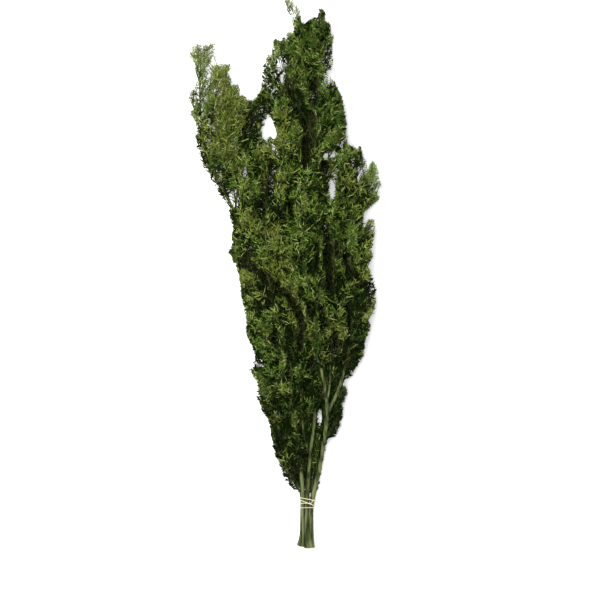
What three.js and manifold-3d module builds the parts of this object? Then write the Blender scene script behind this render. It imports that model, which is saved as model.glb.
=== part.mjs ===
// A bunch of cut cypress branches, tied near its cut ends and lying on a flat surface.
// Units are millimetres and +Z is up. The bunch runs along +Y, from its cut ends to its tips, and the
// origin is on the surface, under the middle of its length and width.
// Six stems are held by a thin tie. They fan out and carry boughs and masses of foliage, and each mass
// keeps to a space of its own.

import * as THREE from "three";
import Module from "manifold-3d";

const wasm = await Module();
wasm.setup();

// The whole bunch
const TIP_Y = 402; // the furthest tip, and the cut ends lie as far the other way
const SIDE_X = 144; // the outermost tips on both sides
const TOP_Z = 112; // the top of the foliage over the surface

// Outline of the foliage from above: a height along Y, and how far the crown reaches there
const LEFT_EDGE = [
  [-320, 16],
  [-245, -20],
  [-170, -42],
  [-104, -50],
  [0, -72],
  [95, -84],
  [160, -122],
  [250, -SIDE_X],
];
const RIGHT_EDGE = [
  [-320, 46],
  [-215, 81],
  [-140, 100],
  [-60, 128],
  [75, 126],
  [125, SIDE_X],
  [165, 131],
  [192, 112],
  [202, 88],
  [300, 66],
];

// The open notch between the outer branch and the middle of the crown, above this height
const NOTCH_Y = 247;
const NOTCH_LEFT = [
  [NOTCH_Y, -55],
  [269, -71],
  [293, -86],
  [316, -104],
  [345, -114],
];
const NOTCH_RIGHT = [
  [NOTCH_Y, -48],
  [293, -34],
  [339, -20],
  [360, -6],
  [TIP_Y, -8],
];

// Openings that show through the foliage from above: middle, half width and half height
const OPENINGS = [
  { x: -26, y: 213, width: 9, height: 20 },
  { x: 67, y: 119, width: 4, height: 13 },
  { x: 58, y: 170, width: 6, height: 7 },
  { x: -75, y: 107, width: 4, height: 9 },
  { x: 46, y: -219, width: 3, height: 12 },
];

const CLEARANCE = 0.3; // between pieces that touch
const CLEAR_SIDES = 5; // of the clear space round a limb
const STEM_SIDES = 8;
const BOUGH_SIDES = 6;
const SEED = 7;

// The tie: a thin cord wound round the stems, up in one layer and back down over it
const TIE_Y = -344;
const TIE_RISE = 14.5;
const TIE_TURNS = 4;
const TIE_RADIUS = 0.65;
const TIE_SLACK = 0.5; // between the tie and the stems' outline
const TIE_STEPS_PER_TURN = 14;
const TIE_SIDES = 5;
const TIE_CROSSOVER = [0.46, 0.54]; // where along the tie it climbs from the first layer to the second

// Limbs: radius at the foot, radius at the end, and the points that the limb runs through.
// A limb with a parent starts at the parent's height along Y, named in from.
const LIMBS = [
  {
    name: "right_stem",
    radii: [3.9, 1.5],
    through: [
      [36.6, -400, 11.8],
      [38.3, -346, 15.2],
      [38.9, -328, 16.4],
      [45, -292, 22],
      [59, -205, 42],
      [55, -160, 54],
      [45, -120, 60],
      [42, -50, 64],
      [38, 60, 64],
      [36, 150, 58],
      [33, 225, 52],
    ],
  },
  {
    name: "middle_stem",
    radii: [3.4, 1.4],
    through: [
      [28.9, -402, 11.6],
      [30.7, -346, 15],
      [31, -328, 16.3],
      [35, -262, 27],
      [41, -215, 36],
      [36, -140, 44],
      [24, -50, 48],
      [18, 40, 50],
      [20, 90, 52],
    ],
  },
  {
    name: "left_stem",
    radii: [3.9, 1.4],
    through: [
      [21.2, -399, 11.9],
      [23.1, -346, 15.2],
      [23.2, -328, 16.4],
      [21, -285, 22],
      [14, -215, 34],
      [7, -140, 47],
      [-8, -98, 52],
      [-24, -20, 54],
      [-20, 50, 56],
      [-10, 95, 56],
    ],
  },
  {
    name: "outer_stem",
    radii: [3.6, 1.3],
    through: [
      [17.6, -397, 3.7],
      [22.6, -346, 7.3],
      [22.4, -328, 8],
      [4, -268, 14],
      [-24, -150, 30],
      [-54, -15, 40],
      [-78, 92, 46],
      [-94, 123, 48],
      [-112, 156, 48],
      [-121, 190, 46],
      [-126, 240, 42],
    ],
  },
  {
    name: "back_stem",
    radii: [3.8, 1.3],
    through: [
      [27, -400, 3.9],
      [30.6, -346, 7.4],
      [30.8, -328, 8],
      [29, -240, 14],
      [20, -100, 26],
      [10, 40, 32],
      [8, 170, 36],
      [16, 270, 38],
      [20, 325, 38],
    ],
  },
  {
    name: "back_right_stem",
    radii: [3.5, 1.3],
    through: [
      [35, -398, 3.6],
      [38.2, -346, 7.2],
      [38.8, -328, 8],
      [50, -250, 14],
      [72, -130, 28],
      [88, -10, 34],
      [98, 70, 36],
      [104, 110, 36],
    ],
  },
  {
    name: "right_bough",
    from: ["right_stem", -208],
    radii: [2.5, 1.2],
    through: [
      [77, -168, 48],
      [88, -124, 52],
      [97, -72, 54],
      [95, -20, 55],
      [91, 60, 55],
    ],
  },
  {
    name: "thin_bough",
    from: ["right_stem", -192],
    radii: [1.7, 1.0],
    through: [
      [63.5, -160, 54],
      [65, -107, 58],
      [67, -55, 58],
    ],
  },
  {
    name: "middle_bough",
    from: ["middle_stem", -266],
    radii: [2.0, 1.1],
    through: [
      [26, -243, 34],
      [24, -224, 40],
      [20, -170, 50],
      [12, -110, 60],
    ],
  },
  {
    name: "low_left_bough",
    from: ["outer_stem", -322],
    radii: [2.0, 1.1],
    through: [
      [3, -294, 10],
      [-9, -262, 16],
      [-20, -215, 22],
    ],
  },
  {
    name: "outer_bough",
    from: ["outer_stem", 84],
    radii: [1.8, 1.0],
    through: [
      [-72, 118, 50],
      [-64, 150, 50],
    ],
  },
  {
    name: "crown_left_bough",
    from: ["back_stem", 160],
    radii: [1.8, 1.0],
    through: [
      [-4, 190, 40],
      [-15, 222, 44],
    ],
  },
  {
    name: "crown_right_bough",
    from: ["right_stem", 80],
    radii: [1.8, 1.0],
    through: [
      [56, 108, 62],
      [73, 138, 58],
    ],
  },
];

// Masses of foliage: name, tone, widest radius, the limb and the place along Y where the mass's own stem
// leaves it, and the mass's tip. The last triple lifts the middle of the stem off the straight line.
const MASSES = [
  ["crown_left_tip", "olive", 13, ["back_stem", 300], [2, TIP_Y, 36]],
  ["crown_top", "green", 31, ["right_stem", 195], [28, 372, 50]],
  ["crown_right_tip", "green", 23, ["right_stem", 175], [54, 386, 40], [9, 0, 0]],
  ["crown_left", "deep", 20, ["back_stem", 258], [-9, 344, 36], [0, 0, -2]],
  ["crown_point", "green", 17, ["back_stem", 238], [-25, 316, 50], [-4, 0, 8]],
  ["crown_shoulder", "green", 18, ["crown_left_bough", 205], [-40, 264, 44], [10, 8, 0]],
  ["outer_tip", "olive", 19, ["outer_stem", 215], [-124, 336, 38], [-6, 0, 4]],
  ["outer_second", "olive", 22, ["outer_stem", 175], [-96, 308, 42]],
  ["outer_third", "green", 25, ["outer_stem", 135], [-76, 282, 56]],
  ["outer_inner", "brown", 20, ["outer_bough", 130], [-52, 258, 44]],
  ["outer_edge", "olive", 12, ["outer_stem", 190], [-141, 262, 52]],
  ["outer_low", "deep", 22, ["outer_bough", 100], [-92, 216, 30]],
  ["right_upper", "green", 23, ["crown_right_bough", 115], [74, 268, 48]],
  ["right_shoulder", "green", 25, ["right_bough", 35], [88, 190, 56]],
  ["right_spray", "deep", 17, ["back_right_stem", 84], [106, 190, 26], [0, 0, -4]],
  ["right_spur", "bright", 18, ["back_right_stem", 100], [126, 162, 54], [2, 0, 6]],
  ["right_spur_low", "bright", 14, ["back_right_stem", 70], [SIDE_X, 127, 34]],
  ["right_side_small", "deep", 17, ["right_bough", 0], [117, 84, 56]],
  ["right_side", "olive", 22, ["right_bough", -70], [112, 40, 66]],
  ["right_low", "deep", 23, ["right_bough", -124], [118, -26, 52]],
  ["right_lower", "green", 23, ["back_right_stem", -200], [104, -90, 40], [6, 0, 0]],
  ["right_lowest", "green", 18, ["back_right_stem", -275], [78, -170, 34], [5, 0, 0]],
  ["right_inner", "brown", 22, ["right_bough", -156], [76, -38, 76]],
  ["centre_crown", "deep", 31, ["right_stem", 90], [50, 250, 72], [6, 0, 10]],
  ["centre_left", "olive", 30, ["left_stem", 60], [2, 215, 66]],
  ["centre_high", "green", 30, ["middle_stem", 55], [24, 190, 82], [0, 0, 10]],
  ["centre_front", "olive", 34, ["right_stem", -75], [30, 86, 92], [0, 0, 8]],
  ["centre_right", "deep", 29, ["thin_bough", -85], [72, 98, 80]],
  ["left_high", "green", 30, ["outer_stem", 0], [-56, 144, 66], [0, 0, 8]],
  ["left_front", "olive", 31, ["left_stem", -80], [-40, 66, 86], [0, 0, 8]],
  ["left_edge", "deep", 24, ["outer_stem", -85], [-66, 60, 30], [-8, 0, -4]],
  ["left_low", "green", 25, ["outer_stem", -150], [-54, -24, 54], [-8, 0, 8]],
  ["left_inner", "green", 28, ["left_stem", -165], [-30, -40, 80], [0, 0, 8]],
  ["centre_low", "green", 30, ["middle_bough", -135], [8, 6, 90]],
  ["centre_lower", "bright", 22, ["middle_bough", -205], [26, -84, 70]],
  ["left_lower", "deep", 22, ["low_left_bough", -220], [-42, -112, 36], [-6, 0, 0]],
  ["left_lowest", "green", 21, ["low_left_bough", -298], [-26, -182, 48], [-4, 0, 14]],
  ["low_front", "olive", 22, ["left_stem", -285], [2, -150, 60]],
  ["back_low", "deep", 26, ["back_stem", -225], [34, -80, 16]],
  ["back_left", "deep", 30, ["outer_stem", -125], [-40, 10, 14]],
  ["back_right", "deep", 30, ["back_right_stem", -105], [86, 50, 14]],
  ["back_centre", "deep", 34, ["back_stem", -80], [22, 90, 14]],
  ["back_high", "deep", 32, ["back_stem", 70], [30, 220, 18]],
  ["crown_inner", "green", 24, ["back_stem", 170], [0, 292, 58]],
  ["left_middle", "deep", 24, ["left_stem", 20], [-36, 160, 40]],
  ["back_crown", "deep", 28, ["back_stem", 215], [34, 356, 12]],
];

const STEM_BOW = [0, 0, 4]; // where a mass names none

const COLOURS = {
  bark: 0x55653a,
  tie: 0xd9cf8e,
  deep: 0x22361a,
  green: 0x35501f,
  bright: 0x4b7026,
  olive: 0x5c6a2a,
  brown: 0x4a4a20,
};

const ROUGHNESS = 0.85;

// Shape of a mass: a flame that widens soon after its stem and runs out to a point
const SPACE_SAMPLES = 14;
const SPACE_SHARE = 2.5; // how far sprays may reach out of a mass's widest, over its radius squared
const SPACE_MARGIN = 16; // mm2, keeps neighbouring masses apart
const FOOT_SHARE = 0.6;
const WIDEST_AT = 0.4;
const TIP_SHARE = 0.4;
const TWIG_RADII = [1.3, 0.5];
const TWIG_SIDES = 3;
const TWIG_STEPS = 6;
const CORE_SHARES = [0.2, 0.35, 0.5, 0.65, 0.8]; // of the mass's width, taken in turn as the core widens
// The rings that widen together: all of them, or else the upper or the lower ones
const RING_GROUPS = [
  [0, 1, 2, 3, 4, 5],
  [3, 4, 5],
  [0, 1, 2],
];
const CORE_SIDES = 5;
// Place along the stem and share of the core's width
const CORE_RINGS = [
  [0.02, 0.1],
  [0.14, 0.8],
  [0.34, 1],
  [0.56, 1],
  [0.76, 0.85],
  [0.96, 0.1],
];
const CORE_STEP = 0.5;
const CORE_LEAST = 1.5; // radius

// A spray: a flat blade with a tooth on each side, thickest along its rib
const SPRAYS_PER_AREA = 1 / 620; // one spray for each of these mm2 of a mass's length times radius
const SPRAY_LENGTHS = [72, 62, 53, 46, 40, 34, 29, 24]; // the longest that finds room is taken
const LONGEST_SHARE = 2.6; // the most that a spray is as long as, over the radius of its mass
const SPRAY_SPREAD = 0.72; // width over length
const SPRAY_RIB = 0.05; // half the thickness over length
const SPRAY_PLACES = [0.03, 0.93]; // the stretch of the mass's stem that carries sprays
const SPRAY_ANGLES = [1.05, 0.4]; // radians between the mass's stem and a spray, at its foot and tip
const ANGLE_SPREAD = 0.2; // share by which a spray's angle may be wider or narrower
const SPRAY_ROLL = 0.7; // radians, the most that a spray turns away from lying flat
const SPRAY_OUTLINE = [
  [0, 0],
  [0.72, 0.5],
  [0.64, 0.2],
  [1, 0],
  [0.64, -0.2],
  [0.72, -0.5],
]; // along, across
const SPRAY_TIP = 3; // its place in the outline
const SPRAY_RIDGE = 0.42; // along
const SPRAY_SPACING = 18; // between the tips of a mass's sprays
const TRIES_PER_SPRAY = 6;
const SIDEWAYS = 0.3; // how strongly sprays keep to the sides of a mass rather than its top and underside
const SPREAD_STEPS = [0.7549, 0.5698]; // steps along and round the stem that spread sprays evenly

const vector = (xyz) => new THREE.Vector3(...xyz);

// Random numbers from 0 to 1 that are the same in each run
function seeded(seed) {
  let state = seed >>> 0;
  return () => {
    state = (state + 0x6d2b79f5) >>> 0;
    let t = Math.imul(state ^ (state >>> 15), state | 1);
    t ^= t + Math.imul(t ^ (t >>> 7), t | 61);
    return ((t ^ (t >>> 14)) >>> 0) / 4294967296;
  };
}

function solidOf(points, triangles) {
  const mesh = new wasm.Mesh({
    numProp: 3,
    vertProperties: new Float32Array(points.flatMap((p) => p.toArray())),
    triVerts: new Uint32Array(triangles.flat()),
  });
  return new wasm.Manifold(mesh);
}

// A closed solid through rings of equally many points, each ring running the same way round
function loft(rings) {
  const sides = rings[0].length;
  const points = rings.flat();
  const triangles = [];
  for (let r = 0; r + 1 < rings.length; r++) {
    for (let s = 0; s < sides; s++) {
      const [a, b] = [r * sides + s, r * sides + ((s + 1) % sides)];
      triangles.push([a, b, a + sides], [b, b + sides, a + sides]);
    }
  }
  const last = points.length - sides;
  for (let s = 1; s + 1 < sides; s++) {
    triangles.push([0, s + 1, s], [last, last + s, last + s + 1]);
  }
  return solidOf(points, triangles);
}

// Two directions square to a limb's own, turned so that rings of points face out
function acrossOf(tangent) {
  const side = new THREE.Vector3(0, 0, 1).cross(tangent).normalize();
  return [side, new THREE.Vector3().crossVectors(tangent, side)];
}

function ring(centre, tangent, radiusAt, sides) {
  const [u, w] = acrossOf(tangent);
  return Array.from({ length: sides }, (_, s) => {
    const turn = (2 * Math.PI * s) / sides;
    const outward = u.clone().multiplyScalar(Math.cos(turn)).addScaledVector(w, Math.sin(turn));
    return centre.clone().addScaledVector(outward, radiusAt(outward));
  });
}

// The place along a curve, from 0 to 1, where it reaches a height along Y
function placeAtY(curve, y) {
  let [low, high] = [0, 1];
  for (let i = 0; i < 30; i++) {
    const middle = (low + high) / 2;
    if (curve.getPoint(middle).y < y) low = middle;
    else high = middle;
  }
  return (low + high) / 2;
}

const limbs = new Map();

function limbPoint([name, y]) {
  const { curve } = limbs.get(name);
  return curve.getPoint(placeAtY(curve, y));
}

// A tapering limb, which may run on a little beyond its end
function taper(curve, radii, sides, steps, extra = 0) {
  const rings = [];
  for (let i = 0; i <= steps; i++) {
    const t = i / steps;
    const tangent = curve.getTangent(t);
    const centre = curve.getPoint(t);
    if (i === steps) centre.addScaledVector(tangent, extra);
    const radius = THREE.MathUtils.lerp(radii[0], radii[1], t);
    rings.push(ring(centre, tangent, () => radius, sides));
  }
  return loft(rings);
}

// Each limb has a clear space round it, which is cut from what it carries: it stands off the limb by
// the clearance at the middle of its sides
function growLimb({ name, from, radii, through }) {
  const points = through.map(vector);
  if (from) points.unshift(limbPoint(from));
  const curve = new THREE.CatmullRomCurve3(points, false, "centripetal");
  const [sides, steps] = from ? [BOUGH_SIDES, 2 * points.length] : [STEM_SIDES, 2 * points.length - 4];
  let solid = taper(curve, radii, sides, steps);
  if (from) {
    for (const other of limbs.values()) solid = solid.subtract(other.clear);
    solid = largest(solid);
  }
  const clearRadii = radii.map((radius) => (radius + CLEARANCE) / Math.cos(Math.PI / CLEAR_SIDES));
  const clear = taper(curve, clearRadii, CLEAR_SIDES, steps, CLEARANCE);
  limbs.set(name, { name, curve, solid, radii, clear });
}

function largest(solid) {
  return solid.decompose().reduce((a, b) => (b.volume() > a.volume() ? b : a));
}

// How wide a mass is along its stem, as a share of its widest
function flame(t) {
  if (t < WIDEST_AT) return FOOT_SHARE + (1 - FOOT_SHARE) * Math.sin((Math.PI / 2) * (t / WIDEST_AT));
  return 1 - (1 - TIP_SHARE) * ((t - WIDEST_AT) / (1 - WIDEST_AT)) ** 2;
}

function planMass([name, tone, radius, from, tip, bow = STEM_BOW], index) {
  const foot = limbPoint(from);
  const end = vector(tip);
  const middle = foot.clone().lerp(end, 0.5).add(vector(bow));
  const curve = new THREE.QuadraticBezierCurve3(foot, middle, end);
  const space = Array.from({ length: SPACE_SAMPLES }, (_, i) => {
    const t = (i + 0.5) / SPACE_SAMPLES;
    return { centre: curve.getPoint(t), radius: radius * flame(t) };
  });
  return { name, tone, radius, curve, space, length: curve.getLength(), random: seeded(SEED + index) };
}

// How far a point is outside a mass's space, in mm2: below 0 is inside
function beyond({ space }, point) {
  return Math.min(...space.map(({ centre, radius }) => point.distanceToSquared(centre) - radius * radius));
}

const masses = [];

// Where one of the crown's edges runs at a height along Y
function edgeAt(edge, y) {
  const next = edge.findIndex(([edgeY]) => edgeY > y);
  if (next === 0) return edge[0][1];
  if (next < 0) return edge[edge.length - 1][1];
  const [[y0, x0], [y1, x1]] = [edge[next - 1], edge[next]];
  return THREE.MathUtils.mapLinear(y, y0, y1, x0, x1);
}

function inCrown({ x, y, z }) {
  if (z < 0 || z > TOP_Z || y > TIP_Y) return false;
  if (x < edgeAt(LEFT_EDGE, y) || x > edgeAt(RIGHT_EDGE, y)) return false;
  if (y > NOTCH_Y && x > edgeAt(NOTCH_LEFT, y) && x < edgeAt(NOTCH_RIGHT, y)) return false;
  return OPENINGS.every((o) => Math.hypot((x - o.x) / o.width, (y - o.y) / o.height) > 1);
}

// A point is in a mass's own space when it is in the crown and no other mass has it deeper inside
function isOwn(mass, point) {
  if (!inCrown(point)) return false;
  const own = beyond(mass, point);
  if (own > SPACE_SHARE * mass.radius ** 2) return false;
  return masses.every((other) => other === mass || beyond(other, point) > own + SPACE_MARGIN);
}

function isNear(a, b) {
  const [boxA, boxB] = [a.boundingBox(), b.boundingBox()];
  const meets = (low, high, k) => low.min[k] - CLEARANCE < high.max[k];
  return [0, 1, 2].every((k) => meets(boxA, boxB, k) && meets(boxB, boxA, k));
}

function isClearOf(others, piece, gap) {
  return others.every(({ solid }) => !isNear(piece, solid) || piece.minGap(solid, gap) >= gap);
}

function otherMasses(mass) {
  return masses.filter((other) => other !== mass);
}

function cutBy(others, solid) {
  const near = others.filter(({ clear }) => isNear(solid, clear));
  return near.reduce((rest, { clear }) => rest.subtract(clear), solid);
}

function coreOf(mass, shares) {
  const rings = CORE_RINGS.map(([t, width], i) => {
    const centre = mass.curve.getPoint(t);
    const reach = shares[i] * width * mass.radius * flame(t);
    const radiusAt = (outward) => {
      let radius = CORE_LEAST;
      while (radius < reach && isOwn(mass, centre.clone().addScaledVector(outward, radius + CORE_STEP))) {
        radius += CORE_STEP;
      }
      return radius;
    };
    return ring(centre, mass.curve.getTangent(t), radiusAt, CORE_SIDES);
  });
  return loft(rings);
}

function startMass(mass) {
  const clearRadii = TWIG_RADII.map((radius) => radius + CLEARANCE / Math.cos(Math.PI / TWIG_SIDES));
  mass.stem = largest(cutBy([...limbs.values()], taper(mass.curve, TWIG_RADII, TWIG_SIDES, TWIG_STEPS)));
  mass.clear = taper(mass.curve, clearRadii, TWIG_SIDES, TWIG_STEPS, CLEARANCE);
  mass.solid = mass.stem;
  mass.shares = CORE_RINGS.map(() => 0);
}

// A core widens unless it then meets another mass, and goes on with its upper or its lower rings
function widenCore(mass, share) {
  for (const rings of RING_GROUPS) {
    const shares = mass.shares.map((old, i) => (rings.includes(i) ? share : old));
    const core = cutBy([...limbs.values(), ...otherMasses(mass)], coreOf(mass, shares));
    if (!isClearOf(otherMasses(mass), core, CLEARANCE / 2)) continue;
    mass.solid = largest(mass.stem.add(core));
    mass.shares = shares;
    return;
  }
}

function sprayPoints(root, along, across, length) {
  const run = along.clone().multiplyScalar(length);
  const width = across.clone().multiplyScalar(length * SPRAY_SPREAD);
  const place = ([s, w]) => root.clone().addScaledVector(run, s).addScaledVector(width, w);
  const rib = new THREE.Vector3().crossVectors(along, across).multiplyScalar(SPRAY_RIB * length);
  const ridge = place([SPRAY_RIDGE, 0]);
  return [...SPRAY_OUTLINE.map(place), ridge.clone().add(rib), ridge.clone().sub(rib)];
}

// Each edge of the outline makes one face with the high point above it and one with that below
const SPRAY_FACES = SPRAY_OUTLINE.flatMap((_, i) => {
  const above = SPRAY_OUTLINE.length;
  const below = above + 1;
  const next = (i + 1) % SPRAY_OUTLINE.length;
  return [
    [i, above, next],
    [next, below, i],
  ];
});

// A spray at a place on the mass's stem, shortened until it fits the space, or nothing
function growSpray(mass, t, turn) {
  const tangent = mass.curve.getTangent(t);
  const [u, w] = acrossOf(tangent);
  const outward = u.clone().multiplyScalar(Math.cos(turn)).addScaledVector(w, Math.sin(turn));
  const angle = THREE.MathUtils.lerp(...SPRAY_ANGLES, t) * (1 + ANGLE_SPREAD * (2 * mass.random() - 1));
  const along = tangent.clone().multiplyScalar(Math.cos(angle)).addScaledVector(outward, Math.sin(angle));
  const across = new THREE.Vector3(0, 0, 1).cross(along).normalize();
  across.applyAxisAngle(along, SPRAY_ROLL * (2 * mass.random() - 1));
  const root = mass.curve.getPoint(t);
  for (const length of SPRAY_LENGTHS) {
    if (length > LONGEST_SHARE * mass.radius) continue;
    const points = sprayPoints(root, along, across, length);
    if (points.slice(1).every((p) => isOwn(mass, p))) {
      const solid = solidOf(points, SPRAY_FACES);
      const tip = points[SPRAY_TIP];
      const others = [...limbs.values(), ...otherMasses(mass)];
      if (isClearOf(others, solid, CLEARANCE)) return { solid, length, tip };
    }
  }
  return null;
}

// Many sprays are tried all round the stem, and the longest are kept whose tips stand apart
function growSprays(mass) {
  const count = Math.round(mass.length * mass.radius * SPRAYS_PER_AREA);
  const tried = [];
  for (let i = 0; i < TRIES_PER_SPRAY * count; i++) {
    const t = THREE.MathUtils.lerp(...SPRAY_PLACES, (i * SPREAD_STEPS[0]) % 1);
    const even = 2 * Math.PI * i * SPREAD_STEPS[1];
    const spray = growSpray(mass, t, even - SIDEWAYS * Math.sin(2 * even));
    if (spray) tried.push(spray);
  }
  const kept = [];
  for (const spray of tried.sort((a, b) => b.length - a.length)) {
    const isApart = kept.every(({ tip }) => tip.distanceTo(spray.tip) > SPRAY_SPACING);
    if (isApart && kept.length < count) kept.push(spray);
  }
  mass.solid = largest(kept.reduce((solid, spray) => solid.add(spray.solid), mass.solid));
}

// The outline of the stems where they are tied, pushed out by a distance
function bundlePoint(y, turn, distance) {
  const normal = new THREE.Vector3(Math.cos(turn), 0, Math.sin(turn));
  let best = null;
  for (const { name, curve, radii } of limbs.values()) {
    if (!name.endsWith("stem")) continue;
    const t = placeAtY(curve, y);
    const radius = THREE.MathUtils.lerp(radii[0], radii[1], t) + distance;
    const point = curve.getPoint(t).addScaledVector(normal, radius);
    if (!best || point.dot(normal) > best.dot(normal)) best = point;
  }
  return best.setY(y);
}

function growTie() {
  const steps = TIE_TURNS * TIE_STEPS_PER_TURN;
  const points = Array.from({ length: steps + 1 }, (_, i) => {
    const share = i / steps;
    const y = TIE_Y + TIE_RISE * (1 - Math.abs(1 - 2 * share));
    const layer = THREE.MathUtils.smoothstep(share, ...TIE_CROSSOVER);
    const distance = TIE_RADIUS + TIE_SLACK + layer * (2 * TIE_RADIUS + CLEARANCE);
    return bundlePoint(y, -Math.PI / 2 + 2 * Math.PI * TIE_TURNS * share, distance);
  });
  const rings = points.map((point, i) => {
    const tangent = points[Math.min(i + 1, steps)].clone().sub(points[Math.max(i - 1, 0)]).normalize();
    const outward = new THREE.Vector3(0, 1, 0).cross(tangent).normalize();
    const along = new THREE.Vector3().crossVectors(tangent, outward);
    return Array.from({ length: TIE_SIDES }, (_, s) => {
      const turn = (2 * Math.PI * s) / TIE_SIDES;
      return point
        .clone()
        .addScaledVector(outward, TIE_RADIUS * Math.cos(turn))
        .addScaledVector(along, TIE_RADIUS * Math.sin(turn));
    });
  });
  return loft(rings);
}

function meshOf(name, solid, color) {
  const { vertProperties, triVerts } = solid.getMesh();
  const geometry = new THREE.BufferGeometry();
  geometry.setAttribute("position", new THREE.BufferAttribute(vertProperties, 3));
  geometry.setIndex(new THREE.BufferAttribute(triVerts, 1));
  const finish = { color, roughness: ROUGHNESS, metalness: 0, flatShading: true };
  const mesh = new THREE.Mesh(geometry, new THREE.MeshStandardMaterial(finish));
  mesh.name = name;
  return mesh;
}

const bunch = new THREE.Group();
bunch.name = "cypress_bunch";
LIMBS.forEach(growLimb);
for (const { name, solid } of limbs.values()) bunch.add(meshOf(name, solid, COLOURS.bark));
masses.push(...MASSES.map(planMass));
masses.forEach(startMass);
for (const share of CORE_SHARES) masses.forEach((mass) => widenCore(mass, share));
masses.forEach(growSprays);
for (const { name, solid, tone } of masses) bunch.add(meshOf(name, solid, COLOURS[tone]));
bunch.add(meshOf("tie", growTie(), COLOURS.tie));

export default bunch;
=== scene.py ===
import math

import bpy
import numpy as np
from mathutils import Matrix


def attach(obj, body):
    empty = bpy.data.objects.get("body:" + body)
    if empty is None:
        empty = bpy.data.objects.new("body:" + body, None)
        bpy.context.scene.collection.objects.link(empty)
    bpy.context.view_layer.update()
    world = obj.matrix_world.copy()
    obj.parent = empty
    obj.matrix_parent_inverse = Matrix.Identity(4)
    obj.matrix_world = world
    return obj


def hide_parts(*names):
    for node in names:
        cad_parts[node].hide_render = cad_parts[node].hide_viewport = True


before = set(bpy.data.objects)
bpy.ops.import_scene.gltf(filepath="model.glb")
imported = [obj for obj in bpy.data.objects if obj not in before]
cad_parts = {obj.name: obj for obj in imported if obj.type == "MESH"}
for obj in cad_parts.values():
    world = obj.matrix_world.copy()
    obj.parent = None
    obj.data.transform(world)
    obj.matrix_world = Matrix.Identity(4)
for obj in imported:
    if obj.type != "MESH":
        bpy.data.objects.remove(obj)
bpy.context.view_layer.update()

MM = 0.001
SEED = 7

TOP_Z = 112  # as high as leaves may stand

# The crown's outline seen from above, round from the tie up its left side
CROWN = [
    (22, -338), (15, -325), (10, -315), (2, -311), (-3, -298), (-8, -283), (-15, -268), (-18, -253),
    (-21, -239), (-23, -220), (-33, -205), (-37, -193), (-42, -185), (-44, -179), (-39, -169), (-42, -157),
    (-50, -151), (-53, -142), (-45, -139), (-49, -129), (-44, -125), (-49, -109), (-54, -97), (-59, -85),
    (-57, -72), (-60, -58), (-64, -37), (-67, -12), (-70, 4), (-76, 15), (-83, 31), (-76, 42), (-78, 53),
    (-75, 68), (-82, 79), (-81, 90), (-90, 103), (-98, 119), (-109, 135), (-118, 151), (-125, 167),
    (-129, 183),
    # the outer branch
    (-131, 199), (-130, 218), (-140, 233), (-134, 240), (-145, 259), (-139, 269), (-131, 272), (-133, 304),
    (-142, 315), (-137, 334), (-126, 334), (-115, 332), (-107, 338), (-103, 316), (-116, 301), (-99, 303),
    (-82, 306), (-87, 288), (-81, 283), (-85, 269), (-70, 274), (-70, 259), (-66, 226), (-61, 226),
    # the top
    (-66, 258), (-49, 249), (-36, 266), (-34, 293), (-26, 319), (-21, 296), (-20, 322), (-18, 341),
    (-8, 338), (2, 351), (11, 347), (14, 360), (-2, 372), (4, 377), (-1, 399), (7, 401), (17, 385),
    (20, 367), (26, 361), (39, 371), (47, 368), (49, 388), (55, 386), (55, 369), (63, 363), (63, 342),
    (68, 347), (65, 325), (67, 303), (60, 284), (68, 280), (79, 256), (86, 220), (88, 186), (100, 181),
    # the right side
    (103, 169), (107, 186), (115, 160), (118, 147), (126, 163), (135, 147), (132, 137), (145, 128),
    (131, 122), (134, 107), (111, 88), (110, 66), (113, 61), (120, 76), (128, 78), (129, 61), (123, 39),
    (125, 21), (115, 11), (125, -8), (129, -23), (129, -52), (118, -68), (121, -81), (113, -100),
    (111, -123), (95, -147), (93, -157), (86, -152), (79, -166), (88, -169), (88, -177), (80, -192),
    (81, -210), (70, -240), (58, -243), (50, -283), (42, -338),
]

# Holes that no twig crosses: beside the outer branch, low on the right of the top, and between two stems
HOLES = [
    [(-27, 232), (-22, 225), (-17, 214), (-13, 200), (-18, 194), (-24, 200), (-31, 194), (-35, 198),
     (-36, 211), (-32, 219), (-30, 227)],
    [(64, 134), (68, 135), (71, 126), (71, 112), (68, 104), (64, 107), (62, 120)],
    [(46, -203), (50, -206), (52, -213), (50, -225), (47, -227), (45, -214)],
]

# Openings that show through the foliage from above: x, y, half width and half height
OPENINGS = [
    (-19, 183, 2, 5), (-14, 173, 2, 6), (60, 170, 7, 5), (67, 119, 3.5, 14), (-50, -19, 1.5, 4),
    (-61, 144, 5, 8), (-77, 107, 7.5, 15), (105, 146, 3, 13), (96, 160, 2, 9), (49, -212, 3, 13),
    (-11, 304, 3, 15), (-7, 285, 2.5, 8), (-104, 266, 2, 5),
]

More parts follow.
